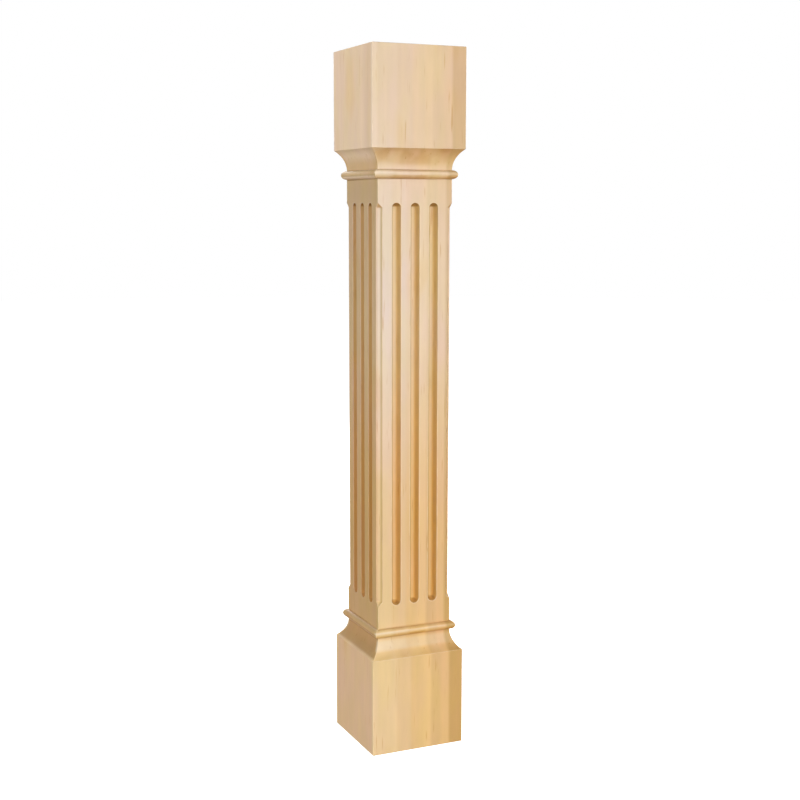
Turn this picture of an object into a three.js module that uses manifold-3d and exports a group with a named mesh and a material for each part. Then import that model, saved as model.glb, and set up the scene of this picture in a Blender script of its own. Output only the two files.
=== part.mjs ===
// Fluted square post: a square block at each end, a cove and a bead between each block and the
// shaft, three flutes on each side of the shaft and a hollow along each of its corners.
// Millimetres, +Z up. The origin is the centre of the underside and the front faces -Y.
// The four sides are alike, and the upper half mirrors the lower half.
import * as THREE from "three";
import { mergeVertices } from "three/addons/utils/BufferGeometryUtils.js";
import Module from "manifold-3d";

// The whole post
const SIDES = 4;
const HEIGHT = 895.35;
const BLOCK_WIDTH = 127;
const BLOCK_HEIGHT = 125;
const SHAFT_WIDTH = 101.6;

// The moulding beyond each block: a cove that sweeps in to the shaft, then a half-round bead
const COVE_HEIGHT = 25.9;
const COVE_STEPS = 12;
const BEAD_HEIGHT = 11.1;
const BEAD_PROJECTION = 5.9;
const BEAD_STEPS = 14;

// The flutes and the corner hollows stop this far from each end of the post
const RUN_MARGIN = 191.5;
const RUN_LENGTH = HEIGHT - 2 * RUN_MARGIN;

// Flutes: tapered walls, a rounded bottom and half-round ends
const FLUTES_PER_SIDE = 3;
const FLUTE_PITCH = 25.4;
const FLUTE_WIDTH = 12.7;
const FLUTE_WALL_ANGLE = THREE.MathUtils.degToRad(74);
const FLUTE_NOSE_RADIUS = 4.5;
const FLUTE_NOSE_STEPS = 6;
const FLUTE_END_SEGMENTS = 32;

// Corner hollows: a quarter-round groove along each corner that runs out at 45 degrees
const HOLLOW_RADIUS = 6;
const HOLLOW_SEGMENTS = 48;

// Each cutter stands this far proud of the face that it cuts
const CUTTER_OVERRUN = 2;
const WELD_DISTANCE = 1e-4;

// Pale unfinished wood
const WOOD_COLOUR = 0xe3c69a;
const WOOD_ROUGHNESS = 0.62;

const wasm = await Module();
wasm.setup();

// The closed solid that a geometry bounds
function solidFrom(geometry) {
  const bare = geometry.clone();
  bare.deleteAttribute("normal");
  bare.deleteAttribute("uv");
  const welded = mergeVertices(bare, WELD_DISTANCE);
  return new wasm.Manifold(
    new wasm.Mesh({
      numProp: 3,
      vertProperties: new Float32Array(welded.attributes.position.array),
      triVerts: new Uint32Array(welded.index.array),
    }),
  );
}

// The geometry that bounds a closed solid
function geometryFrom(solid) {
  const mesh = solid.getMesh();
  const geometry = new THREE.BufferGeometry();
  const positions = new THREE.BufferAttribute(mesh.vertProperties, mesh.numProp);
  geometry.setAttribute("position", positions);
  geometry.setIndex(new THREE.BufferAttribute(mesh.triVerts, 1));
  return geometry;
}

// Half-width against height, from the centre of the underside up to the plain neck of the shaft
function lowerProfile() {
  const block = BLOCK_WIDTH / 2;
  const shaft = SHAFT_WIDTH / 2;
  const setBack = block - shaft;
  const coveRadius = (COVE_HEIGHT ** 2 + setBack ** 2) / (2 * setBack);
  const coveTop = BLOCK_HEIGHT + COVE_HEIGHT;
  const profile = [
    [0, 0],
    [block, 0],
    [block, BLOCK_HEIGHT],
  ];
  for (let i = 1; i <= COVE_STEPS; i++) {
    const below = COVE_HEIGHT * (1 - i / COVE_STEPS);
    const flare = coveRadius - Math.sqrt(coveRadius ** 2 - below ** 2);
    profile.push([shaft + flare, coveTop - below]);
  }
  for (let i = 1; i <= BEAD_STEPS; i++) {
    const turn = Math.PI * (i / BEAD_STEPS - 1 / 2);
    const rise = (BEAD_HEIGHT / 2) * (1 + Math.sin(turn));
    profile.push([shaft + BEAD_PROJECTION * Math.cos(turn), coveTop + rise]);
  }
  return profile;
}

// The square post before fluting: the profile turned through four flat sides, mitred at the corners
function plainPost() {
  const lower = lowerProfile();
  const upper = lower.map(([half, z]) => [half, HEIGHT - z]).reverse();
  const cornerRadius = 1 / Math.sin(Math.PI / SIDES);
  const points = [...lower, ...upper].map(([half, z]) => new THREE.Vector2(half * cornerRadius, z));
  const body = new THREE.LatheGeometry(points, SIDES, Math.PI / SIDES);
  body.rotateX(Math.PI / 2);
  return solidFrom(body);
}

// Half the section of a flute: distance from its middle against height above the face
function fluteHalfSection() {
  const noseHalf = FLUTE_NOSE_RADIUS * Math.sin(FLUTE_WALL_ANGLE);
  const wallDepth = (FLUTE_WIDTH / 2 - noseHalf) * Math.tan(FLUTE_WALL_ANGLE);
  const depth = wallDepth + FLUTE_NOSE_RADIUS * (1 - Math.cos(FLUTE_WALL_ANGLE));
  const section = [];
  for (let i = 0; i <= FLUTE_NOSE_STEPS; i++) {
    const turn = (FLUTE_WALL_ANGLE * i) / FLUTE_NOSE_STEPS;
    const rise = FLUTE_NOSE_RADIUS * (1 - Math.cos(turn));
    section.push(new THREE.Vector2(FLUTE_NOSE_RADIUS * Math.sin(turn), rise - depth));
  }
  const flare = CUTTER_OVERRUN / Math.tan(FLUTE_WALL_ANGLE);
  section.push(new THREE.Vector2(FLUTE_WIDTH / 2 + flare, CUTTER_OVERRUN));
  return section;
}

// What one flute takes out, with its face at y = 0 and its middle at the origin
function fluteCutter() {
  const half = fluteHalfSection();
  const travel = RUN_LENGTH - FLUTE_WIDTH;
  const mirrored = half.slice(1).map((p) => new THREE.Vector2(-p.x, p.y));
  const outline = new THREE.Shape([...mirrored.reverse(), ...half]);
  const straight = new THREE.ExtrudeGeometry(outline, { depth: travel, bevelEnabled: false });
  straight.translate(0, 0, -travel / 2);
  let cutter = solidFrom(straight);
  for (const end of [-1, 1]) {
    const turned = [...half, new THREE.Vector2(0, CUTTER_OVERRUN)];
    const round = new THREE.LatheGeometry(turned, FLUTE_END_SEGMENTS);
    round.translate(0, 0, (end * travel) / 2);
    cutter = cutter.add(solidFrom(round));
  }
  const shape = geometryFrom(cutter);
  shape.rotateZ(Math.PI);
  return shape;
}

// What one corner hollow takes out, centred on the corner's line
function hollowCutter() {
  const half = RUN_LENGTH / 2;
  const profile = [
    new THREE.Vector2(0, -half),
    new THREE.Vector2(HOLLOW_RADIUS, HOLLOW_RADIUS - half),
    new THREE.Vector2(HOLLOW_RADIUS, half - HOLLOW_RADIUS),
    new THREE.Vector2(0, half),
  ];
  const hollow = new THREE.LatheGeometry(profile, HOLLOW_SEGMENTS);
  hollow.rotateX(Math.PI / 2);
  return hollow;
}

// The post with every flute and corner hollow cut
function flutedPost() {
  const face = SHAFT_WIDTH / 2;
  const flute = fluteCutter();
  const hollow = hollowCutter();
  let post = plainPost();
  for (let side = 0; side < SIDES; side++) {
    const turn = (side * 2 * Math.PI) / SIDES;
    for (let i = 0; i < FLUTES_PER_SIDE; i++) {
      const across = FLUTE_PITCH * (i - (FLUTES_PER_SIDE - 1) / 2);
      const cut = flute.clone().translate(across, -face, HEIGHT / 2).rotateZ(turn);
      post = post.subtract(solidFrom(cut));
    }
    const corner = hollow.clone().translate(-face, -face, HEIGHT / 2).rotateZ(turn);
    post = post.subtract(solidFrom(corner));
  }
  return geometryFrom(post);
}

const wood = new THREE.MeshStandardMaterial({
  color: WOOD_COLOUR,
  roughness: WOOD_ROUGHNESS,
  metalness: 0,
});
const post = new THREE.Mesh(flutedPost(), wood);
post.name = "fluted_post";

const part = new THREE.Group();
part.name = "fluted_post_group";
part.add(post);

export default part;
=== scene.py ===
import itertools
import math
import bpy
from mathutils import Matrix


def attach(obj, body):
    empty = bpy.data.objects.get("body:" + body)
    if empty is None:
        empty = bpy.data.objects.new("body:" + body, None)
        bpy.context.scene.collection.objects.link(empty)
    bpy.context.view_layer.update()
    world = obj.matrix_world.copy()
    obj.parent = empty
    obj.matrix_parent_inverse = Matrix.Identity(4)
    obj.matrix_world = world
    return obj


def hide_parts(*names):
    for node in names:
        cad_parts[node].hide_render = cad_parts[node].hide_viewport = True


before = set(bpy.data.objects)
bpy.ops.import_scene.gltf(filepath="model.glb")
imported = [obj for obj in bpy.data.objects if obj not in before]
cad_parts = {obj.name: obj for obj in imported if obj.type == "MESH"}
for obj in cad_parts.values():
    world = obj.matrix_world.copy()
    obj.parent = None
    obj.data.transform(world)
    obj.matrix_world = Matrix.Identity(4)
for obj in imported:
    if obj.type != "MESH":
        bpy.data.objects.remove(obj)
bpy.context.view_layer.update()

from types import SimpleNamespace

import bmesh
import bpy
from mathutils import Matrix, Vector

MM = 0.001

# The whole post, in metres: origin at the centre of the underside, +Z up, front to -Y
SIDES = 4
HEIGHT = 895.35 * MM
BLOCK_HALF = 63.5 * MM
BLOCK_HEIGHT = 125.0 * MM
SHAFT_HALF = 50.8 * MM
SET_BACK = BLOCK_HALF - SHAFT_HALF

# Sanded edges, their scuffed borders, which also carry a painted highlight, and the painted shade in the
# creases beside the beads
ARRIS_EASE = 0.6 * MM
LIP_EASE = 0.4 * MM
LIP_RUB_AND_HIGHLIGHT = 0.9 * MM
EASE_STEPS = 4
NECK_FADE = 3.0 * MM
CREASE_SHADE_REACH = 1.7 * MM

# Cove and bead beyond each block
COVE_HEIGHT = 25.9 * MM
COVE_STEPS = 24
COVE_TOP = BLOCK_HEIGHT + COVE_HEIGHT
COVE_RADIUS = (COVE_HEIGHT**2 + SET_BACK**2) / (2 * SET_BACK)
COVE_LEAN = math.asin(COVE_HEIGHT / COVE_RADIUS)
COVE_TRIM = ARRIS_EASE * math.tan(COVE_LEAN / 2)
BEAD_HEIGHT = 11.1 * MM
BEAD_PROJECTION = 5.9 * MM
BEAD_STEPS = 20
BEAD_MIDDLE = COVE_TOP + BEAD_HEIGHT / 2

# Flutes: tapered walls, a rounded bottom and half-round ends
RUN_MARGIN = 191.5 * MM
FLUTES_PER_SIDE = 3
FLUTE_PITCH = 25.4 * MM
FLUTE_HALF = 6.35 * MM
FLUTE_WALL_ANGLE = math.radians(74)
FLUTE_NOSE_RADIUS = 4.5 * MM
FLUTE_NOSE_HALF = FLUTE_NOSE_RADIUS * math.sin(FLUTE_WALL_ANGLE)
FLUTE_WALL_DEPTH = (FLUTE_HALF - FLUTE_NOSE_HALF) * math.tan(FLUTE_WALL_ANGLE)
FLUTE_DEPTH = FLUTE_WALL_DEPTH + FLUTE_NOSE_RADIUS * (1 - math.cos(FLUTE_WALL_ANGLE))
FLUTE_NOSE_STEPS = 8
FLUTE_END_STEPS = 28

# Corner hollows: a quarter round that slopes out at each end
HOLLOW_RADIUS = 6.0 * MM
HOLLOW_STEPS = 14
HOLLOW_STOP_STEPS = 6
HOLLOW_POINTS = 2 * (EASE_STEPS + 1) + HOLLOW_STEPS - 1

# Points closer than about this part of a micron are one point
MICRONS_PER_METRE = 1e6
WELD_NUDGE = 0.3


class Shell:
    """Collects faces with a normal at each corner and, at each point, a value for scuffing and painted
    light.

    That value runs from -1 in the painted shade of a bead's creases, past 0 on plain wood, to 1 on a
    scuffed edge that is also a painted highlight.
    """

    def __init__(self):
        self.index = {}
        self.points = []
        self.wear_and_light = []
        self.faces = []
        self.normals = []

    def vertex(self, place, wear_and_light):
        """The number of the point at a place, shared by every corner that meets there."""
        microns = [c * MICRONS_PER_METRE for c in place]
        at = self.index.get(tuple(round(c) for c in microns))
        if at is None:
            at = len(self.points)
            self.points.append(tuple(place))
            self.wear_and_light.append(0.0)
            for nudge in itertools.product((-WELD_NUDGE, WELD_NUDGE), repeat=3):
                self.index[tuple(round(c + n) for c, n in zip(microns, nudge))] = at
        if abs(wear_and_light) > abs(self.wear_and_light[at]):
            self.wear_and_light[at] = wear_and_light
        return at

    def face(self, corners):
        """Adds a face from (place, normal, scuffing and painted light) corners, wound to agree with their
        normals.
        """
        ring = []
        for place, normal, wear_and_light in corners:
            at = self.vertex(place, wear_and_light)
            if at not in [r[0] for r in ring]:
                ring.append((at, Vector(normal)))
        if len(ring) < 3:
            return
        area = Vector((0, 0, 0))
        for i in range(len(ring)):
            a = Vector(self.points[ring[i][0]])
            b = Vector(self.points[ring[(i + 1) % len(ring)][0]])
            area += a.cross(b)
        if area.dot(sum((n for _, n in ring), Vector((0, 0, 0)))) < 0:
            ring.reverse()
        self.faces.append([at for at, _ in ring])
        self.normals.extend(n.normalized() for _, n in ring)

    def grid(self, rows, closed=False):
        """Adds the quads between rows of (place, normal, scuffing and painted light) corners."""
        for low, high in zip(rows, rows[1:]):
            count = len(low) if closed else len(low) - 1
            for i in range(count):
                j = (i + 1) % len(low)
                self.face([low[i], low[j], high[j], high[i]])

    def to_object(self, name):
        """A smooth object that carries the normals and the values for scuffing and painted light."""
        mesh = bpy.data.meshes.new(name)
        mesh.from_pydata(self.points, [], self.faces)
        mesh.polygons.foreach_set("use_smooth", [True] * len(mesh.polygons))
        mesh.normals_split_custom_set([tuple(n) for n in self.normals])
        wear_and_light_layer = mesh.attributes.new("wear_and_painted_light", "FLOAT", "POINT")
        wear_and_light_layer.data.foreach_set("value", self.wear_and_light)
        made = bpy.data.objects.new(name, mesh)
        bpy.context.scene.collection.objects.link(made)
        return made


def turned(corners, side, upper):
    """Corners carried to another side of the post, and to its upper half."""
    spin = Matrix.Rotation(side * 2 * math.pi / SIDES, 3, "Z")
    out = []
    for place, normal, wear_and_light in corners:
        p, n = spin @ Vector(place), spin @ Vector(normal)
        if upper:
            p.z, n.z = HEIGHT - p.z, -n.z
        out.append((p, n, wear_and_light))
    return out


def wear_and_painted_light(step):
    """Scuffing with its painted highlight across an eased edge: none at its borders and full in its
    middle.
    """
    return math.sin(math.pi * step / EASE_STEPS)


def foot_edge():
    """The eased edge round the underside."""
    edge = []
    for i in range(EASE_STEPS + 1):
        turn = math.pi / 2 * i / EASE_STEPS
        out, up = math.sin(turn), -math.cos(turn)
        half = BLOCK_HALF - ARRIS_EASE * (1 - out)
        edge.append((half, ARRIS_EASE * (1 + up), out, up, wear_and_painted_light(i)))
    return edge


def cove_curve():
    """The cove, from the eased edge of the block in to the shaft."""
    start = COVE_HEIGHT - COVE_TRIM * math.cos(COVE_LEAN)
    curve = []
    for i in range(COVE_STEPS + 1):
        below = start * (1 - i / COVE_STEPS)
        across = math.sqrt(COVE_RADIUS**2 - below**2)
        half = SHAFT_HALF + COVE_RADIUS - across
        curve.append((half, COVE_TOP - below, across / COVE_RADIUS, below / COVE_RADIUS, 0.0))
    return curve


def block_edge(cove_start):
    """The eased edge between the side of a block and the start of its cove."""
    guides = ((BLOCK_HALF, BLOCK_HEIGHT - COVE_TRIM), (BLOCK_HALF, BLOCK_HEIGHT), cove_start)
    edge = []
    for i in range(EASE_STEPS + 1):
        t = i / EASE_STEPS
        shares = ((1 - t) ** 2, 2 * t * (1 - t), t**2)
        half = sum(share * guide[0] for share, guide in zip(shares, guides))
        z = sum(share * guide[1] for share, guide in zip(shares, guides))
        turn = COVE_LEAN * t
        edge.append((half, z, math.cos(turn), math.sin(turn), wear_and_painted_light(i)))
    return edge


def bead_curve():
    """The half-round bead, with painted shade in the creases along its edges."""
    rise = BEAD_HEIGHT / 2
    curve = []
    for i in range(BEAD_STEPS + 1):
        turn = math.pi * (i / BEAD_STEPS - 1 / 2)
        out, up = math.cos(turn), math.sin(turn)
        normal = Vector((out / BEAD_PROJECTION, up / rise)).normalized()
        z = rise * (1 + up)
        # Painted shade in the creases along the bead's edges, fading out over their reach
        crease_shade = max(0.0, 1 - min(z, BEAD_HEIGHT - z) / CREASE_SHADE_REACH)
        half = SHAFT_HALF + BEAD_PROJECTION * out
        curve.append((half, COVE_TOP + z, normal.x, normal.y, -crease_shade))
    return curve


def neck_line():
    """The plain neck of the shaft, from the bead to where the corner hollows start."""
    low, high = COVE_TOP + BEAD_HEIGHT, RUN_MARGIN - NECK_FADE
    return [(SHAFT_HALF, z, 1.0, 0.0, 0.0) for z in (low, low + CREASE_SHADE_REACH, high)]


def end_spans():
    """The profile up to the neck as smooth spans of (half, z, normal out, normal up, scuffing and painted
    light).
    """
    cove = cove_curve()
    return [foot_edge() + block_edge(cove[0]) + cove[1:], bead_curve(), neck_line()]


def corner_arc(half, z, out, up, wear_and_light):
    """One side of a level ring: the flat of the front and the eased corner at its right end."""
    inner = half - ARRIS_EASE
    row = [(Vector((-inner, -half, z)), Vector((0, -out, up)), wear_and_light)]
    for i in range(EASE_STEPS + 1):
        turn = math.pi / 2 * i / EASE_STEPS
        away = Vector((math.sin(turn), -math.cos(turn), 0))
        place = Vector((inner, -inner, z)) + ARRIS_EASE * away
        row.append((place, out * away + Vector((0, 0, up)), max(wear_and_light, wear_and_painted_light(i))))
    return row


def add_ends(shell):
    """Blocks, coves, beads and plain necks at both ends, with the flat end faces."""
    spans = end_spans()
    for upper in (False, True):
        for span in spans:
            for side in range(SIDES):
                shell.grid([turned(corner_arc(*level), side, upper) for level in span])
        rim = corner_arc(*spans[0][0])[1:]
        cap = [corner for side in range(SIDES) for corner in turned(rim, side, upper)]
        shell.face([(place, normal, 0.0) for place, normal, _ in cap])


def lip_reach(radius):
    """How far along the face a corner hollow of this radius reaches, with its sanded lip."""
    return math.sqrt(radius**2 + 2 * radius * min(LIP_EASE, radius))


def hollow_section(radius, z):
    """A level cut across the front left hollow, from the front face round to the left face."""
    corner = Vector((-SHAFT_HALF, -SHAFT_HALF, z))
    if radius == 0:
        return [(corner, Vector((-1, -1, 0)), 0.0)] * HOLLOW_POINTS
    ease = min(LIP_EASE, radius)
    centre = Vector((lip_reach(radius), ease, 0))
    open_angle = math.asin(ease / (radius + ease))
    lip = []
    for i in range(EASE_STEPS + 1):
        turn = -math.pi / 2 - (math.pi / 2 - open_angle) * i / EASE_STEPS
        away = Vector((math.cos(turn), math.sin(turn), 0))
        lip.append((corner + centre + ease * away, away, wear_and_painted_light(i)))
    hollow = []
    for i in range(1, HOLLOW_STEPS):
        turn = open_angle + (math.pi / 2 - 2 * open_angle) * i / HOLLOW_STEPS
        away = Vector((math.cos(turn), math.sin(turn), 0))
        hollow.append((corner + radius * away, -away, 0.0))
    far_lip = []
    for place, normal, wear_and_light in reversed(lip):
        a = place - corner
        far_lip.append((corner + Vector((a.y, a.x, 0)), Vector((normal.y, normal.x, 0)), wear_and_light))
    return lip + hollow + far_lip


def stop_stations():
    """Radius and height of the corner hollow's cuts through its lower stop."""
    steps = [HOLLOW_RADIUS * i / HOLLOW_STOP_STEPS for i in range(HOLLOW_STOP_STEPS + 1)]
    return [(radius, RUN_MARGIN + radius) for radius in steps]


def hollow_stop():
    """Level cuts up the hollow's lower stop, with normals that lean up out of its slope."""
    rows = []
    for radius, z in stop_stations():
        row = []
        for i, (place, normal, wear_and_light) in enumerate(hollow_section(radius, z)):
            lift = min(1.0, min(i, HOLLOW_POINTS - 1 - i) / EASE_STEPS)
            row.append((place, normal + Vector((0, 0, lift)), wear_and_light))
        rows.append(row)
    rows[0] = [(tip[0], above[1], 0.0) for tip, above in zip(rows[0], rows[1])]
    return rows


def add_hollows(shell):
    """The hollows along the corners, their sloping stops, and the neck corners that meet them."""
    low = RUN_MARGIN + HOLLOW_RADIUS
    straight = [hollow_section(HOLLOW_RADIUS, z) for z in (low, HEIGHT - low)]
    stop = hollow_stop()
    level = corner_arc(SHAFT_HALF, RUN_MARGIN - NECK_FADE, 1.0, 0.0, 0.0)[1:]
    tip = Vector((SHAFT_HALF, -SHAFT_HALF, RUN_MARGIN))
    for side in range(SIDES):
        shell.grid([turned(row, side, False) for row in straight])
        for upper in (False, True):
            shell.grid([turned(row, side, upper) for row in stop])
            for a, b in zip(level, level[1:]):
                shell.face(turned([a, b, (tip, a[1] + b[1], 0.0)], side, upper))


def flute_rings():
    """The flute's section from lip to bottom as (half-width, depth, tilt of the surface, scuffing and
    painted light).
    """
    reach = LIP_EASE * math.tan(FLUTE_WALL_ANGLE / 2)
    rings = [(FLUTE_HALF + reach + LIP_RUB_AND_HIGHLIGHT, 0.0, 0.0, 0.0)]
    for i in range(EASE_STEPS + 1):
        tilt = FLUTE_WALL_ANGLE * i / EASE_STEPS
        half = FLUTE_HALF + reach - LIP_EASE * math.sin(tilt)
        rings.append((half, LIP_EASE * (1 - math.cos(tilt)), tilt, 1 - i / EASE_STEPS))
    for i in range(FLUTE_NOSE_STEPS + 1):
        tilt = FLUTE_WALL_ANGLE * (1 - i / FLUTE_NOSE_STEPS)
        half = FLUTE_NOSE_RADIUS * math.sin(tilt)
        rings.append((half, FLUTE_DEPTH - FLUTE_NOSE_RADIUS * (1 - math.cos(tilt)), tilt, 0.0))
    return rings


def flute_loop(across, half, depth, tilt, wear_and_light):
    """One ring of a flute on the front face: two half-round ends joined by straight sides."""
    travel = HEIGHT / 2 - RUN_MARGIN - FLUTE_HALF
    loop = []
    for end in (1, -1):
        for i in range(FLUTE_END_STEPS + 1):
            turn = math.pi * i / FLUTE_END_STEPS + (0 if end > 0 else math.pi)
            away = Vector((math.cos(turn), 0, math.sin(turn)))
            middle = Vector((across, depth - SHAFT_HALF, HEIGHT / 2 + end * travel))
            normal = Vector((0, -math.cos(tilt), 0)) - math.sin(tilt) * away
            loop.append((middle + half * away, normal, wear_and_light))
    return loop


def face_outline():
    """The edge of the front face of the shaft, between the necks and the corner hollows."""
    left = [(ARRIS_EASE - SHAFT_HALF, RUN_MARGIN - NECK_FADE)]
    left += [(lip_reach(radius) - SHAFT_HALF, z) for radius, z in stop_stations()]
    left += [(x, HEIGHT - z) for x, z in reversed(left)]
    right = [(-x, z) for x, z in reversed(left)]
    return [Vector((x, -SHAFT_HALF, z)) for x, z in left + right]


def face_triangles(loops):
    """The flat of the front face, filled between its outline and the lips of the flutes."""
    work = bmesh.new()
    for loop in loops:
        points = [work.verts.new(p) for p in loop]
        for a, b in zip(points, points[1:] + points[:1]):
            work.edges.new((a, b))
    bmesh.ops.triangle_fill(work, use_beauty=True, use_dissolve=False, edges=work.edges[:])
    faces = [[v.co.copy() for v in f.verts] for f in work.faces]
    work.free()
    return faces


def add_shaft(shell):
    """The fluted faces of the shaft."""
    middle = (FLUTES_PER_SIDE - 1) / 2
    places = [FLUTE_PITCH * (i - middle) for i in range(FLUTES_PER_SIDE)]
    rings = flute_rings()
    lips = [[p for p, _, _ in flute_loop(x, *rings[0])] for x in places]
    flat = face_triangles([face_outline()] + lips)
    for side in range(SIDES):
        for triangle in flat:
            shell.face(turned([(p, Vector((0, -1, 0)), 0.0) for p in triangle], side, False))
        for x in places:
            rows = [turned(flute_loop(x, *ring), side, False) for ring in rings]
            shell.grid(rows, closed=True)


shell = Shell()
add_ends(shell)
add_hollows(shell)
add_shaft(shell)
post = shell.to_object("post")
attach(post, "root")
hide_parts("fluted_post")


def set_input(tree, socket, value):
    """Links a socket to another, or sets it to a number, a vector or a colour without alpha."""
    if isinstance(value, bpy.types.NodeSocket):
        tree.links.new(value, socket)
    elif socket.type == "RGBA":
        socket.default_value = (*value, 1.0)
    else:
        socket.default_value = value


def add_node(tree, kind, inputs=None, **settings):
    """A shader node with its settings and inputs."""
    node = tree.nodes.new(kind)
    for name, value in settings.items():
        setattr(node, name, value)
    for name, value in (inputs or {}).items():
        set_input(tree, node.inputs[name], value)
    return node


def compute(tree, operation, a, b=0.0, clamp=False):
    """The result of a sum on numbers or sockets."""
    settings = {"operation": operation, "use_clamp": clamp}
    return add_node(tree, "ShaderNodeMath", {0: a, 1: b}, **settings).outputs[0]


def product(tree, first, *others):
    """Numbers or sockets multiplied together."""
    for other in others:
        first = compute(tree, "MULTIPLY", first, other)
    return first


def less(tree, value, taken):
    """A value less another, and not below zero."""
    return compute(tree, "SUBTRACT", value, taken, clamp=True)


def combine(tree, operation, a, b):
    """The result of a sum on two vectors."""
    return add_node(tree, "ShaderNodeVectorMath", {0: a, 1: b}, operation=operation).outputs[0]


def remap(tree, value, low, high, out_low=0.0, out_high=1.0):
    """A value eased from one range to another."""
    ends = {"Value": value, "From Min": low, "From Max": high, "To Min": out_low, "To Max": out_high}
    node = add_node(tree, "ShaderNodeMapRange", ends, interpolation_type="SMOOTHSTEP")
    return node.outputs["Result"]


def blend(tree, factor, first, second, kind="MIX"):
    """Two colours mixed or multiplied, as far as the factor says."""
    node = add_node(tree, "ShaderNodeMix", data_type="RGBA", blend_type=kind)
    for name, value in (("Factor_Float", factor), ("A_Color", first), ("B_Color", second)):
        set_input(tree, next(s for s in node.inputs if s.identifier == name), value)
    return next(s for s in node.outputs if s.identifier == "Result_Color")


def tinted(tree, factor, colour, tint):
    """A colour multiplied by a tint, as far as the factor says."""
    return blend(tree, factor, colour, tint, "MULTIPLY")


def ramp(tree, value, stops, interpolation):
    """A colour that follows a value: (place, colour) stops from 0 to 1."""
    node = add_node(tree, "ShaderNodeValToRGB", {"Fac": value})
    scale = node.color_ramp
    scale.interpolation = interpolation
    while len(scale.elements) < len(stops):
        scale.elements.new(1.0)
    for element, (start, colour) in zip(scale.elements, stops):
        element.position = start
        element.color = (*colour, 1.0)
    return node.outputs["Color"]


# Tone of the wood against height, from the foot to the top
HEIGHT_TONES = (
    (0.05, (0.877, 0.681, 0.425)),
    (0.30, (0.815, 0.62, 0.398)),
    (0.66, (0.82, 0.725, 0.687)),
    (0.95, (0.782, 0.646, 0.522)),
)
# The left and right sides against height
SIDE_TONES = (
    (0.05, (0.946, 0.871, 0.926)),
    (0.50, (0.975, 0.90, 0.805)),
    (0.95, (1.0, 0.955, 0.88)),
)
# The front board where it shows on those sides
BOARD_EDGE_TONES = (
    (0.20, (1.0, 1.0, 1.0)),
    (0.85, (0.91, 0.88, 0.85)),
)
BOARD_EDGE_START = 28.0 * MM
BOARD_EDGE_FULL = 54.0 * MM
# Painted shade on the recessed shaft of those sides against height, and on the mouldings beside it
SHAFT_FLANK_SHADE_TONES = (
    (0.18, (0.772, 0.738, 0.578)),
    (0.50, (0.757, 0.704, 0.54)),
    (0.72, (0.70, 0.628, 0.462)),
    (0.80, (0.655, 0.604, 0.446)),
)
MOULDED_FLANK_SHADE_TONES = (
    (0.20, (0.68, 0.60, 0.45)),
    (0.80, (0.77, 0.695, 0.525)),
)
# The right side takes this share of the painted shade on the recess, changing over the middle of the post
RIGHT_FLANK_SHADE = 0.3
FLANK_CHANGE = 10.0 * MM
# Cuts across the grain, from facing straight down to facing straight up: partly the tone of end grain,
# partly painted shade on cuts that face down or steeply up
CUT_TONES_AND_SHADE = (
    (0.17, (0.96, 0.83, 0.62)),
    (0.35, (0.98, 0.94, 0.79)),
    (0.48, (1.0, 1.0, 1.0)),
    (0.76, (1.0, 1.0, 1.0)),
    (0.86, (0.86, 0.83, 0.745)),
)
# Painted shade on the cuts of the sides, darker the more they face up
SIDE_CUT_SHADE_TONES = (
    (0.52, (1.0, 1.0, 1.0)),
    (0.70, (0.92, 0.92, 0.88)),
    (0.92, (0.76, 0.78, 0.70)),
)
# Where each stave starts across the width, its tone at the foot and its tone at the top
STAVES = (
    (0.0, (1.0, 1.0, 1.0), (1.0, 1.0, 1.0)),
    (0.05, (0.985, 0.975, 0.95), (0.965, 0.945, 0.90)),
    (0.266, (0.95, 0.91, 0.82), (0.96, 0.925, 0.855)),
    (0.42, (0.93, 0.845, 0.685), (0.965, 0.915, 0.815)),
    (0.555, (0.985, 0.90, 0.73), (0.97, 0.91, 0.79)),
    (0.644, (0.875, 0.775, 0.61), (0.94, 0.88, 0.74)),
    (0.758, (0.94, 0.82, 0.66), (0.95, 0.87, 0.75)),
    (0.848, (0.74, 0.61, 0.385), (0.82, 0.715, 0.53)),
)
STAVE_BLUR = 0.016
STAVE_LEAN = 0.15
STAVE_REACH = 64.0 * MM
# Boards behind the front one, and how far the staves move along from each to the next
LAYER_START = 73.5 * MM
LAYER_DEPTH = 50.0 * MM
STAVE_SLIDE = 0.12
# The staves show less on the sides, in the flutes and towards the back
SIDE_STAVE_LOSS = 0.7
FLUTE_STAVE_LOSS = 0.5
BACK_FULL = 40.0 * MM
BACK_STAVES = 0.45

# Patterns in the wood: offset, stretch along the grain, scale, detail and roughness
MOTTLE = (0.0, 0.35, 32.0, 2.0, 0.5)
BLUSH = (5.3, 0.4, 24.0, 1.0, 0.5)
CLOUD = (1.9, 0.22, 60.0, 3.0, 0.6)
BANDS = (3.1, 0.012, 130.0, 3.0, 0.6)
STREAKS = (2.7, 0.07, 340.0, 1.0, 0.5)
FIBRES = (0.7, 0.02, 1500.0, 3.0, 0.6)
PORES = (4.2, 0.05, 1900.0, 2.0, 0.5)
CUT_FIGURE = (7.7, 0.7, 42.0, 1.0, 0.5)
RUBBED_AND_LIT = (6.1, 0.3, 260.0, 2.0, 0.5)
# The part of each pattern that shows, from none to all
MOTTLE_RANGE = (0.3, 0.7)
BLUSH_RANGE = (0.60, 0.74)
STREAK_RANGE = (0.67, 0.79)
PORE_RANGE = (0.66, 0.74)
CUT_FIGURE_RANGE = (0.40, 0.62)
RUBBED_AND_LIT_RANGE = (0.35, 0.7)
# How much of a scuffed edge and its painted highlight shows, from the least to the most, and its share on
# the sides
RUBBED_AND_LIT_SHARES = (0.25, 0.8)
SIDE_RUBBED_AND_LIT = 0.25

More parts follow.
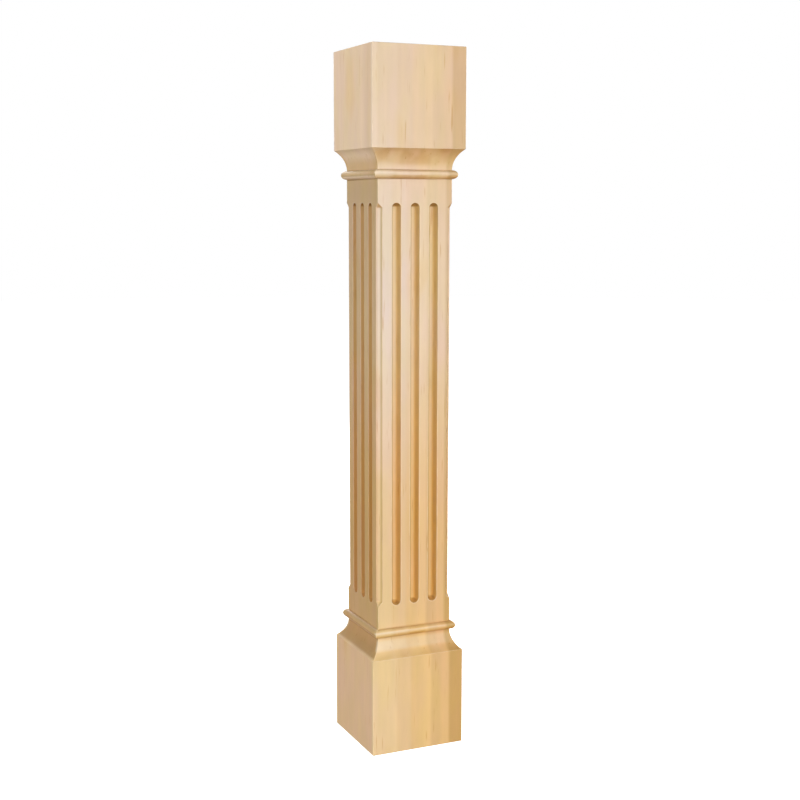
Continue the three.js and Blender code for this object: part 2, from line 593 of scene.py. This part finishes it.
# Tints of the patterns and of each kind of cut
ROSY_TINT = (1.0, 0.955, 0.98)
STRAW_TINT = (0.99, 0.975, 0.87)
BLUSH_TINT = (0.985, 0.945, 0.86)
STREAK_TINT = (0.88, 0.79, 0.66)
# Painted shade in the flutes, golden and darkest on their walls, partly also a darker tone of the cut wood
FLUTE_WALL_SHADE_TINT = (0.98, 0.885, 0.565)
FLUTE_FLOOR_SHADE_TINT = (0.965, 0.935, 0.79)
# Painted shadow on the part of each flute bottom that faces right, beside its left lip
FLUTE_LEE_SHADOW_TINT = (0.86, 0.84, 0.76)
# Painted shade at the half-round ends of the flutes
FLUTE_END_SHADE_TINT = (0.56, 0.43, 0.27)
SIDE_FLUTE_TINT = (0.90, 0.85, 0.78)
CUT_FIGURE_TINT = (0.88, 0.80, 0.68)
# Painted light: cuts that lean a little upward are mixed toward this paler tone
PALE_CUT_LIGHT = (0.87, 0.765, 0.64)
PALE_CUT_LIGHT_SHARE = 0.5
END_GRAIN_TINT = (0.97, 0.90, 0.79)
RING_TINT = (0.90, 0.84, 0.75)
# Painted shade in the creases beside the beads
CREASE_SHADE_TINT = (0.78, 0.69, 0.57)
# Scuffed edges, lighter partly from handling and partly as a painted highlight
WORN_EDGE_HIGHLIGHT = (0.91, 0.75, 0.55)

# Growth rings on the ends, centred apart in each board
RING_SCALE = 95.0
RING_CENTRE = (0.05, 0.11, 0.0)
RING_STEP = (0.07, -0.05, 0.0)
RING_DISTORTION = 2.0
RING_DETAIL = 2.0
RING_DETAIL_SCALE = 0.3

# Where the carving starts and is full: from the post's middle, its faces, or a flute's bottom
FLUTED_HALF = 37.0 * MM
FLOOR_START = 1.6 * MM
FLOOR_FULL = 0.4 * MM
RECESS_START = 0.5 * MM
RECESS_FULL = 4.0 * MM
SIDE_START = 2.0 * MM
SIDE_FULL = 6.0 * MM
FLANK_TURN = (0.6, 0.95)
FLANK_LIFT = 0.35
# How far a surface faces right or up where each of these starts and is full
LEE_SHADOW_TURN = (-0.03, 0.15)
CROSSING_TILT = (0.05, 0.3)
FIGURE_TILT = (-0.1, 0.1)
UPPER_FIGURE = 0.5
PALE_IN_TILT = (0.05, 0.2)
PALE_OUT_TILT = (0.58, 0.42)
UPPER_END_TILT = (-0.1, -0.7)
LOWER_END_TILT = (0.1, 0.7)
LOWER_END_SHARE = 0.5

# Brightness of the grain, its weaker share on the ends, and the finish of the surface
GRAIN_BASE = 0.87
BAND_GRAIN = 0.08
CLOUD_GRAIN = 0.14
FIBRE_GRAIN = 0.04
PORE_GRAIN = -0.05
END_GRAIN_SHARE = 0.25
ROUGHNESS = 0.5
FIBRE_ROUGHNESS = 0.16
SPECULAR = 0.3
PORE_RELIEF = -0.8
RELIEF_STRENGTH = 0.15
RELIEF_DEPTH = 0.3 * MM


def pattern(tree, place, offset, along, scale, detail, roughness):
    """A noise value from 0 to 1, drawn out along the grain and moved to a place of its own."""
    moved = combine(tree, "ADD", place, (offset, offset, offset))
    longer = combine(tree, "MULTIPLY", moved, (1.0, 1.0, along))
    inputs = {"Vector": longer, "Scale": scale, "Detail": detail, "Roughness": roughness}
    return add_node(tree, "ShaderNodeTexNoise", inputs).outputs["Fac"]


def stave_stops(end):
    """Colour stops for the staves with soft joints, from their tones at one end of the post."""
    stops = [(0.0, STAVES[0][end])]
    for left, right in zip(STAVES, STAVES[1:]):
        stops.append((right[0] - STAVE_BLUR, left[end]))
        stops.append((right[0] + STAVE_BLUR, right[end]))
    return stops


def stave_tone(tree, at):
    """The tone of the glued-up stave at a place."""
    sunk = compute(tree, "SUBTRACT", BLOCK_HALF, compute(tree, "ABSOLUTE", at.y))
    drift = product(tree, compute(tree, "MINIMUM", sunk, SET_BACK), STAVE_LEAN)
    across = product(tree, compute(tree, "ADD", at.x, drift), 1 / (2 * STAVE_REACH))
    slide = compute(tree, "ADD", product(tree, at.layer, STAVE_SLIDE), 1 / 2)
    spot = compute(tree, "FRACT", compute(tree, "ADD", across, slide))
    foot, top = (ramp(tree, spot, stave_stops(end), "LINEAR") for end in (1, 2))
    return blend(tree, at.level, foot, top)


def growth_rings(tree, at):
    """Growth rings seen on the ends of the post."""
    step = add_node(tree, "ShaderNodeVectorMath", {0: RING_STEP, "Scale": at.layer}, operation="SCALE")
    spot = combine(tree, "ADD", at.place, combine(tree, "ADD", step.outputs[0], RING_CENTRE))
    inputs = {"Vector": spot, "Scale": RING_SCALE, "Distortion": RING_DISTORTION,
              "Detail": RING_DETAIL, "Detail Scale": RING_DETAIL_SCALE}
    settings = {"wave_type": "RINGS", "rings_direction": "Z", "wave_profile": "SAW"}
    return add_node(tree, "ShaderNodeTexWave", inputs, **settings).outputs["Fac"]


def post_places(tree):
    """Where a point is on the post, which way it faces and how it is carved."""
    at = SimpleNamespace()
    at.place = add_node(tree, "ShaderNodeTexCoord").outputs["Object"]
    at.x, at.y, at.z = add_node(tree, "ShaderNodeSeparateXYZ", {"Vector": at.place}).outputs
    normal = add_node(tree, "ShaderNodeNewGeometry").outputs["Normal"]
    at.facing_x, _, at.facing_z = add_node(tree, "ShaderNodeSeparateXYZ", {"Vector": normal}).outputs

    at.level = product(tree, at.z, 1 / HEIGHT)
    from_end = compute(tree, "MINIMUM", at.z, compute(tree, "SUBTRACT", HEIGHT, at.z))
    at.end = remap(tree, from_end, ARRIS_EASE, 0.0)
    at.long_grain = compute(tree, "SUBTRACT", 1.0, at.end)
    at.between_beads = remap(tree, from_end, BEAD_MIDDLE - MM, BEAD_MIDDLE + MM)
    behind = compute(tree, "ADD", at.y, LAYER_START)
    at.layer = compute(tree, "FLOOR", product(tree, behind, 1 / LAYER_DEPTH))

    aside = compute(tree, "ABSOLUTE", at.x)
    astern = compute(tree, "ABSOLUTE", at.y)
    sunk = compute(tree, "SUBTRACT", SHAFT_HALF, compute(tree, "MAXIMUM", aside, astern))
    nearest = compute(tree, "MINIMUM", aside, astern)
    at.flute = product(tree, remap(tree, nearest, FLUTED_HALF, FLUTED_HALF - MM),
                       remap(tree, sunk, LIP_EASE, 3 * LIP_EASE),
                       remap(tree, from_end, RUN_MARGIN - 2 * MM, RUN_MARGIN - MM))
    at.floor = remap(tree, sunk, FLUTE_DEPTH - FLOOR_START, FLUTE_DEPTH - FLOOR_FULL)
    at.side = product(tree, remap(tree, compute(tree, "SUBTRACT", aside, astern), SIDE_START, SIDE_FULL),
                      remap(tree, from_end, 0.0, ARRIS_EASE))
    lifted = product(tree, at.facing_z, FLANK_LIFT)
    turned_out = compute(tree, "ADD", compute(tree, "ABSOLUTE", at.facing_x), lifted)
    # Painted shade on the recessed sides, where they face outward
    at.flank = product(tree, remap(tree, aside, BLOCK_HALF - RECESS_START, BLOCK_HALF - RECESS_FULL),
                       remap(tree, aside, FLUTED_HALF - MM, FLUTED_HALF),
                       remap(tree, turned_out, *FLANK_TURN),
                       remap(tree, at.x, -FLANK_CHANGE, FLANK_CHANGE, 1.0, RIGHT_FLANK_SHADE))
    not_flute = less(tree, at.long_grain, at.flute)
    at.open_cut = less(tree, not_flute, at.side)
    at.side_cut = product(tree, not_flute, at.side)
    return at


def board_colour(tree, at, stave):
    """The boards with their staves, clouds of tint and streaks, and the tones of the sides."""
    colour = ramp(tree, at.level, HEIGHT_TONES, "EASE")
    shown = compute(tree, "SUBTRACT", 1.0, product(tree, at.side, SIDE_STAVE_LOSS))
    shown = less(tree, shown, product(tree, at.flute, FLUTE_STAVE_LOSS))
    shown = product(tree, shown, remap(tree, at.y, 0.0, BACK_FULL, 1.0, BACK_STAVES))
    colour = tinted(tree, shown, colour, stave)
    hue = remap(tree, pattern(tree, at.place, *MOTTLE), *MOTTLE_RANGE)
    colour = tinted(tree, 1.0, colour, blend(tree, hue, ROSY_TINT, STRAW_TINT))
    blush = remap(tree, pattern(tree, at.place, *BLUSH), *BLUSH_RANGE)
    colour = tinted(tree, blush, colour, BLUSH_TINT)
    streaks = remap(tree, pattern(tree, at.place, *STREAKS), *STREAK_RANGE)
    colour = tinted(tree, product(tree, streaks, at.long_grain), colour, STREAK_TINT)
    colour = tinted(tree, at.side, colour, ramp(tree, at.level, SIDE_TONES, "EASE"))
    edge = product(tree, at.side, remap(tree, at.y, -BOARD_EDGE_START, -BOARD_EDGE_FULL))
    return tinted(tree, edge, colour, ramp(tree, at.level, BOARD_EDGE_TONES, "EASE"))


def carved_colour(tree, at, colour):
    """The wood's colour in the flutes and on the recessed sides: painted shade in the flutes, partly a
    darker tone of the cut, a painted shadow on the part of each flute bottom that faces right, and painted
    shade on the recessed sides.
    """
    # Painted shade in the flutes, partly a darker tone of the cut wood
    flute_shade_tint = blend(tree, at.floor, FLUTE_WALL_SHADE_TINT, FLUTE_FLOOR_SHADE_TINT)
    colour = tinted(tree, at.flute, colour, flute_shade_tint)
    colour = tinted(tree, product(tree, at.flute, at.side), colour, SIDE_FLUTE_TINT)
    # Painted shadow on the part of each flute bottom that faces right
    lee_shadow = product(tree, remap(tree, at.facing_x, *LEE_SHADOW_TURN), at.floor, less(tree, at.flute, at.side))
    colour = tinted(tree, lee_shadow, colour, FLUTE_LEE_SHADOW_TINT)
    # Painted shade on the recessed sides and their mouldings
    moulded = ramp(tree, at.level, MOULDED_FLANK_SHADE_TONES, "EASE")
    shaft = ramp(tree, at.level, SHAFT_FLANK_SHADE_TONES, "LINEAR")
    return tinted(tree, at.flank, colour, blend(tree, at.between_beads, moulded, shaft))


def cut_colour(tree, at, colour, stave):
    """The wood's colour where coves, beads and flute ends cut across the grain, with painted shade and
    painted light that follow which way each cut faces, and painted shade in the flute ends.
    """
    tilt = compute(tree, "ADD", product(tree, at.facing_z, 1 / 2), 1 / 2)
    # Painted shade by which way each cut faces, partly the tone of end grain
    colour = tinted(tree, at.open_cut, colour, ramp(tree, tilt, CUT_TONES_AND_SHADE, "LINEAR"))
    colour = tinted(tree, at.side_cut, colour, ramp(tree, tilt, SIDE_CUT_SHADE_TONES, "LINEAR"))
    figure = product(tree, remap(tree, pattern(tree, at.place, *CUT_FIGURE), *CUT_FIGURE_RANGE),
                     remap(tree, compute(tree, "ABSOLUTE", at.facing_z), *CROSSING_TILT), at.open_cut,
                     remap(tree, at.facing_z, *FIGURE_TILT, 1.0, UPPER_FIGURE))
    colour = tinted(tree, figure, colour, CUT_FIGURE_TINT)
    # Painted light on cuts that lean a little upward
    pale = product(tree, remap(tree, at.facing_z, *PALE_IN_TILT), remap(tree, at.facing_z, *PALE_OUT_TILT),
                   at.open_cut, PALE_CUT_LIGHT_SHARE)
    colour = blend(tree, pale, colour, tinted(tree, 1.0, PALE_CUT_LIGHT, stave))
    # Painted shade at the ends of the flutes, strongest where they face down
    upper_end = remap(tree, at.facing_z, *UPPER_END_TILT)
    lower_end = remap(tree, at.facing_z, *LOWER_END_TILT, 0.0, LOWER_END_SHARE)
    flute_end_shade = product(tree, at.flute, compute(tree, "MAXIMUM", upper_end, lower_end))
    return tinted(tree, flute_end_shade, colour, FLUTE_END_SHADE_TINT)


def end_colour(tree, at, colour):
    """The wood's colour on the end faces, with growth rings."""
    ring = tinted(tree, 1.0, END_GRAIN_TINT, RING_TINT)
    return tinted(tree, at.end, colour, blend(tree, growth_rings(tree, at), END_GRAIN_TINT, ring))


def grain_colour(tree, at, colour, fibres, pores):
    """The light and dark of the grain."""
    parts = ((pattern(tree, at.place, *BANDS), BAND_GRAIN), (pattern(tree, at.place, *CLOUD), CLOUD_GRAIN),
             (fibres, FIBRE_GRAIN), (pores, PORE_GRAIN))
    grain = 0.0
    for value, strength in parts:
        grain = compute(tree, "ADD", grain, product(tree, value, strength))
    grain = product(tree, grain, remap(tree, at.end, 0.0, 1.0, 1.0, END_GRAIN_SHARE))
    shade = compute(tree, "ADD", grain, GRAIN_BASE)
    inputs = {"Red": shade, "Green": shade, "Blue": shade}
    return tinted(tree, 1.0, colour, add_node(tree, "ShaderNodeCombineColor", inputs).outputs[0])


def wear_and_painted_light_colour(tree, at, colour):
    """The wood's colour on scuffed edges, in patches, lighter partly from handling and partly as a painted
    highlight, and with painted shade in the creases beside the beads.
    """
    wear_and_light = add_node(tree, "ShaderNodeAttribute", attribute_name="wear_and_painted_light").outputs["Fac"]
    rubbed_and_lit = remap(tree, pattern(tree, at.place, *RUBBED_AND_LIT), *RUBBED_AND_LIT_RANGE, *RUBBED_AND_LIT_SHARES)
    rubbed_and_lit = product(tree, rubbed_and_lit, remap(tree, at.side, 0.0, 1.0, 1.0, SIDE_RUBBED_AND_LIT), at.long_grain)
    # Painted highlight: scuffed edges are mixed toward a paler colour, partly from handling
    colour = blend(tree, compute(tree, "MULTIPLY", wear_and_light, rubbed_and_lit, clamp=True), colour, WORN_EDGE_HIGHLIGHT)
    # Painted shade: the creases beside the beads are tinted darker
    crease_shade = compute(tree, "MULTIPLY", wear_and_light, -1.0, clamp=True)
    return tinted(tree, crease_shade, colour, CREASE_SHADE_TINT)


def wood_material():
    """Pale sanded hardwood in glued-up upright staves, darker where the cut crosses the grain, with
    painted shade in the flutes, on the cuts, in the creases and on the recessed sides, and a painted
    highlight on scuffed edges.
    """
    material = bpy.data.materials.new("wood")
    material.use_nodes = True
    tree = material.node_tree
    shader = tree.nodes["Principled BSDF"]
    at = post_places(tree)
    stave = stave_tone(tree, at)
    fibres = pattern(tree, at.place, *FIBRES)
    pores = remap(tree, pattern(tree, at.place, *PORES), *PORE_RANGE)

    colour = board_colour(tree, at, stave)
    colour = carved_colour(tree, at, colour)
    colour = cut_colour(tree, at, colour, stave)
    colour = end_colour(tree, at, colour)
    colour = grain_colour(tree, at, colour, fibres, pores)
    colour = wear_and_painted_light_colour(tree, at, colour)
    tree.links.new(colour, shader.inputs["Base Color"])

    roughness = compute(tree, "ADD", product(tree, fibres, FIBRE_ROUGHNESS), ROUGHNESS)
    tree.links.new(roughness, shader.inputs["Roughness"])
    shader.inputs["Specular IOR Level"].default_value = SPECULAR
    relief = compute(tree, "ADD", fibres, product(tree, pores, PORE_RELIEF))
    inputs = {"Strength": RELIEF_STRENGTH, "Distance": RELIEF_DEPTH,
              "Height": product(tree, relief, at.long_grain)}
    bump = add_node(tree, "ShaderNodeBump", inputs)
    tree.links.new(bump.outputs["Normal"], shader.inputs["Normal"])
    return material


post.data.materials.append(wood_material())

# The stage: a pale floor under a far white dome
FLOOR_RADIUS = 9.0
FLOOR_SEGMENTS = 96
FLOOR_COLOUR = (0.8, 0.8, 0.8)
DOME_RADIUS = 30.0
DOME_SUBDIVISIONS = 4
DOME_COLOUR = (0.0, 0.0, 0.0)
STAGE_GLOW = 1.0


def stage_material(name, colour):
    """A matt stage surface with light of its own."""
    material = bpy.data.materials.new(name)
    material.use_nodes = True
    shader = material.node_tree.nodes["Principled BSDF"]
    shader.inputs["Base Color"].default_value = (*colour, 1.0)
    shader.inputs["Roughness"].default_value = 1.0
    shader.inputs["Specular IOR Level"].default_value = 0.0
    shader.inputs["Emission Color"].default_value = (1.0, 1.0, 1.0, 1.0)
    shader.inputs["Emission Strength"].default_value = STAGE_GLOW
    return material


def add_stage():
    """The floor and the dome, seen by the camera without lighting the post."""
    work = bmesh.new()
    bmesh.ops.create_circle(work, cap_ends=True, segments=FLOOR_SEGMENTS, radius=FLOOR_RADIUS)
    floor_mesh = bpy.data.meshes.new("floor")
    work.to_mesh(floor_mesh)
    work.clear()
    bmesh.ops.create_icosphere(work, subdivisions=DOME_SUBDIVISIONS, radius=DOME_RADIUS)
    dome_mesh = bpy.data.meshes.new("dome")
    work.to_mesh(dome_mesh)
    work.free()
    for mesh, colour in ((floor_mesh, FLOOR_COLOUR), (dome_mesh, DOME_COLOUR)):
        made = bpy.data.objects.new(mesh.name, mesh)
        bpy.context.scene.collection.objects.link(made)
        mesh.materials.append(stage_material(mesh.name, colour))
        made.visible_diffuse = False
        made.visible_glossy = False
        made.visible_shadow = False


add_stage()

# Soft square lights aimed at the post's middle: degrees round from the front, degrees above level,
# watts and colour
LIGHT_TARGET = Vector((0.0, 0.0, 0.45))
LIGHT_AWAY = 2.5
LIGHT_SIZE = 0.8
COOL = (0.98, 0.99, 1.0)
WARM = (1.0, 0.93, 0.80)
LIGHTS = (
    ("front_low", 0, -10, 22.0, WARM),
    ("front_high", 12, 30, 15.5, COOL),
    ("right_high", 45, 30, 17.4, COOL),
    ("left_low", -25, -10, 10.4, WARM),
    ("side_front", -80, 15, 14.7, COOL),
    ("side_high", -95, 40, 23.6, COOL),
    ("side_low", -115, -10, 10.5, WARM),
    ("right_back", 115, 15, 40.0, COOL),
    ("back", 175, 20, 42.0, COOL),
)

# Light from the surroundings, from above and from below, changing about the level
UPPER_AIR = (0.03, 0.03, 0.03)
LOWER_AIR = (0.22, 0.20, 0.16)
AIR_CHANGE = 0.5


def add_light(name, turn, rise, power, colour):
    """One of the lights, left out of the camera's sight."""
    turn, rise = math.radians(turn), math.radians(rise)
    out = math.cos(rise)
    away = Vector((math.sin(turn) * out, -math.cos(turn) * out, math.sin(rise)))
    lamp = bpy.data.lights.new(name, "AREA")
    lamp.shape = "SQUARE"
    lamp.size = LIGHT_SIZE
    lamp.energy = power
    lamp.color = colour
    made = bpy.data.objects.new(name, lamp)
    made.location = LIGHT_TARGET + LIGHT_AWAY * away
    made.rotation_mode = "QUATERNION"
    made.rotation_quaternion = (-away).to_track_quat("-Z", "Y")
    made.visible_camera = False
    bpy.context.scene.collection.objects.link(made)


def add_surroundings():
    """Faint light from all round, warmer and stronger from below."""
    world = bpy.data.worlds.new("studio")
    bpy.context.scene.world = world
    world.use_nodes = True
    tree = world.node_tree
    toward = add_node(tree, "ShaderNodeTexCoord").outputs["Generated"]
    height = add_node(tree, "ShaderNodeSeparateXYZ", {"Vector": toward}).outputs["Z"]
    glow = blend(tree, remap(tree, height, -AIR_CHANGE, AIR_CHANGE), LOWER_AIR, UPPER_AIR)
    tree.links.new(glow, tree.nodes["Background"].inputs["Color"])


for light in LIGHTS:
    add_light(*light)
add_surroundings()
bpy.context.scene.view_settings.view_transform = "Standard"
bpy.context.scene.view_settings.look = "None"

# Camera, measured from the photograph's corners
IMAGE_SIZE = 800
FOCAL_PX = 1373.26
SENSOR_MM = 36.0
CAMERA_AT = Vector((-0.72243, -1.61535, 0.69793))
CAMERA_YAW = math.radians(24.1605)
CAMERA_PITCH = math.radians(-7.4444)
CAMERA_ROLL = math.radians(0.068)
SHIFT_PX = -13.0
CLIP_END = 100.0


def add_camera():
    """The camera, turned right by its yaw, up by its pitch and then about its own axis."""
    level = math.cos(CAMERA_PITCH)
    forward = Vector((math.sin(CAMERA_YAW) * level, math.cos(CAMERA_YAW) * level, math.sin(CAMERA_PITCH)))
    level_right = Vector((math.cos(CAMERA_YAW), -math.sin(CAMERA_YAW), 0.0))
    level_up = level_right.cross(forward)
    right = math.cos(CAMERA_ROLL) * level_right + math.sin(CAMERA_ROLL) * level_up
    up = math.cos(CAMERA_ROLL) * level_up - math.sin(CAMERA_ROLL) * level_right
    lens = bpy.data.cameras.new("camera")
    lens.sensor_width = SENSOR_MM
    lens.lens = FOCAL_PX / IMAGE_SIZE * SENSOR_MM
    lens.shift_y = SHIFT_PX / IMAGE_SIZE
    lens.clip_end = CLIP_END
    camera = bpy.data.objects.new("camera", lens)
    facing = Matrix((right, up, -forward)).transposed().to_4x4()
    camera.matrix_world = Matrix.Translation(CAMERA_AT) @ facing
    bpy.context.scene.collection.objects.link(camera)
    bpy.context.scene.camera = camera


add_camera()
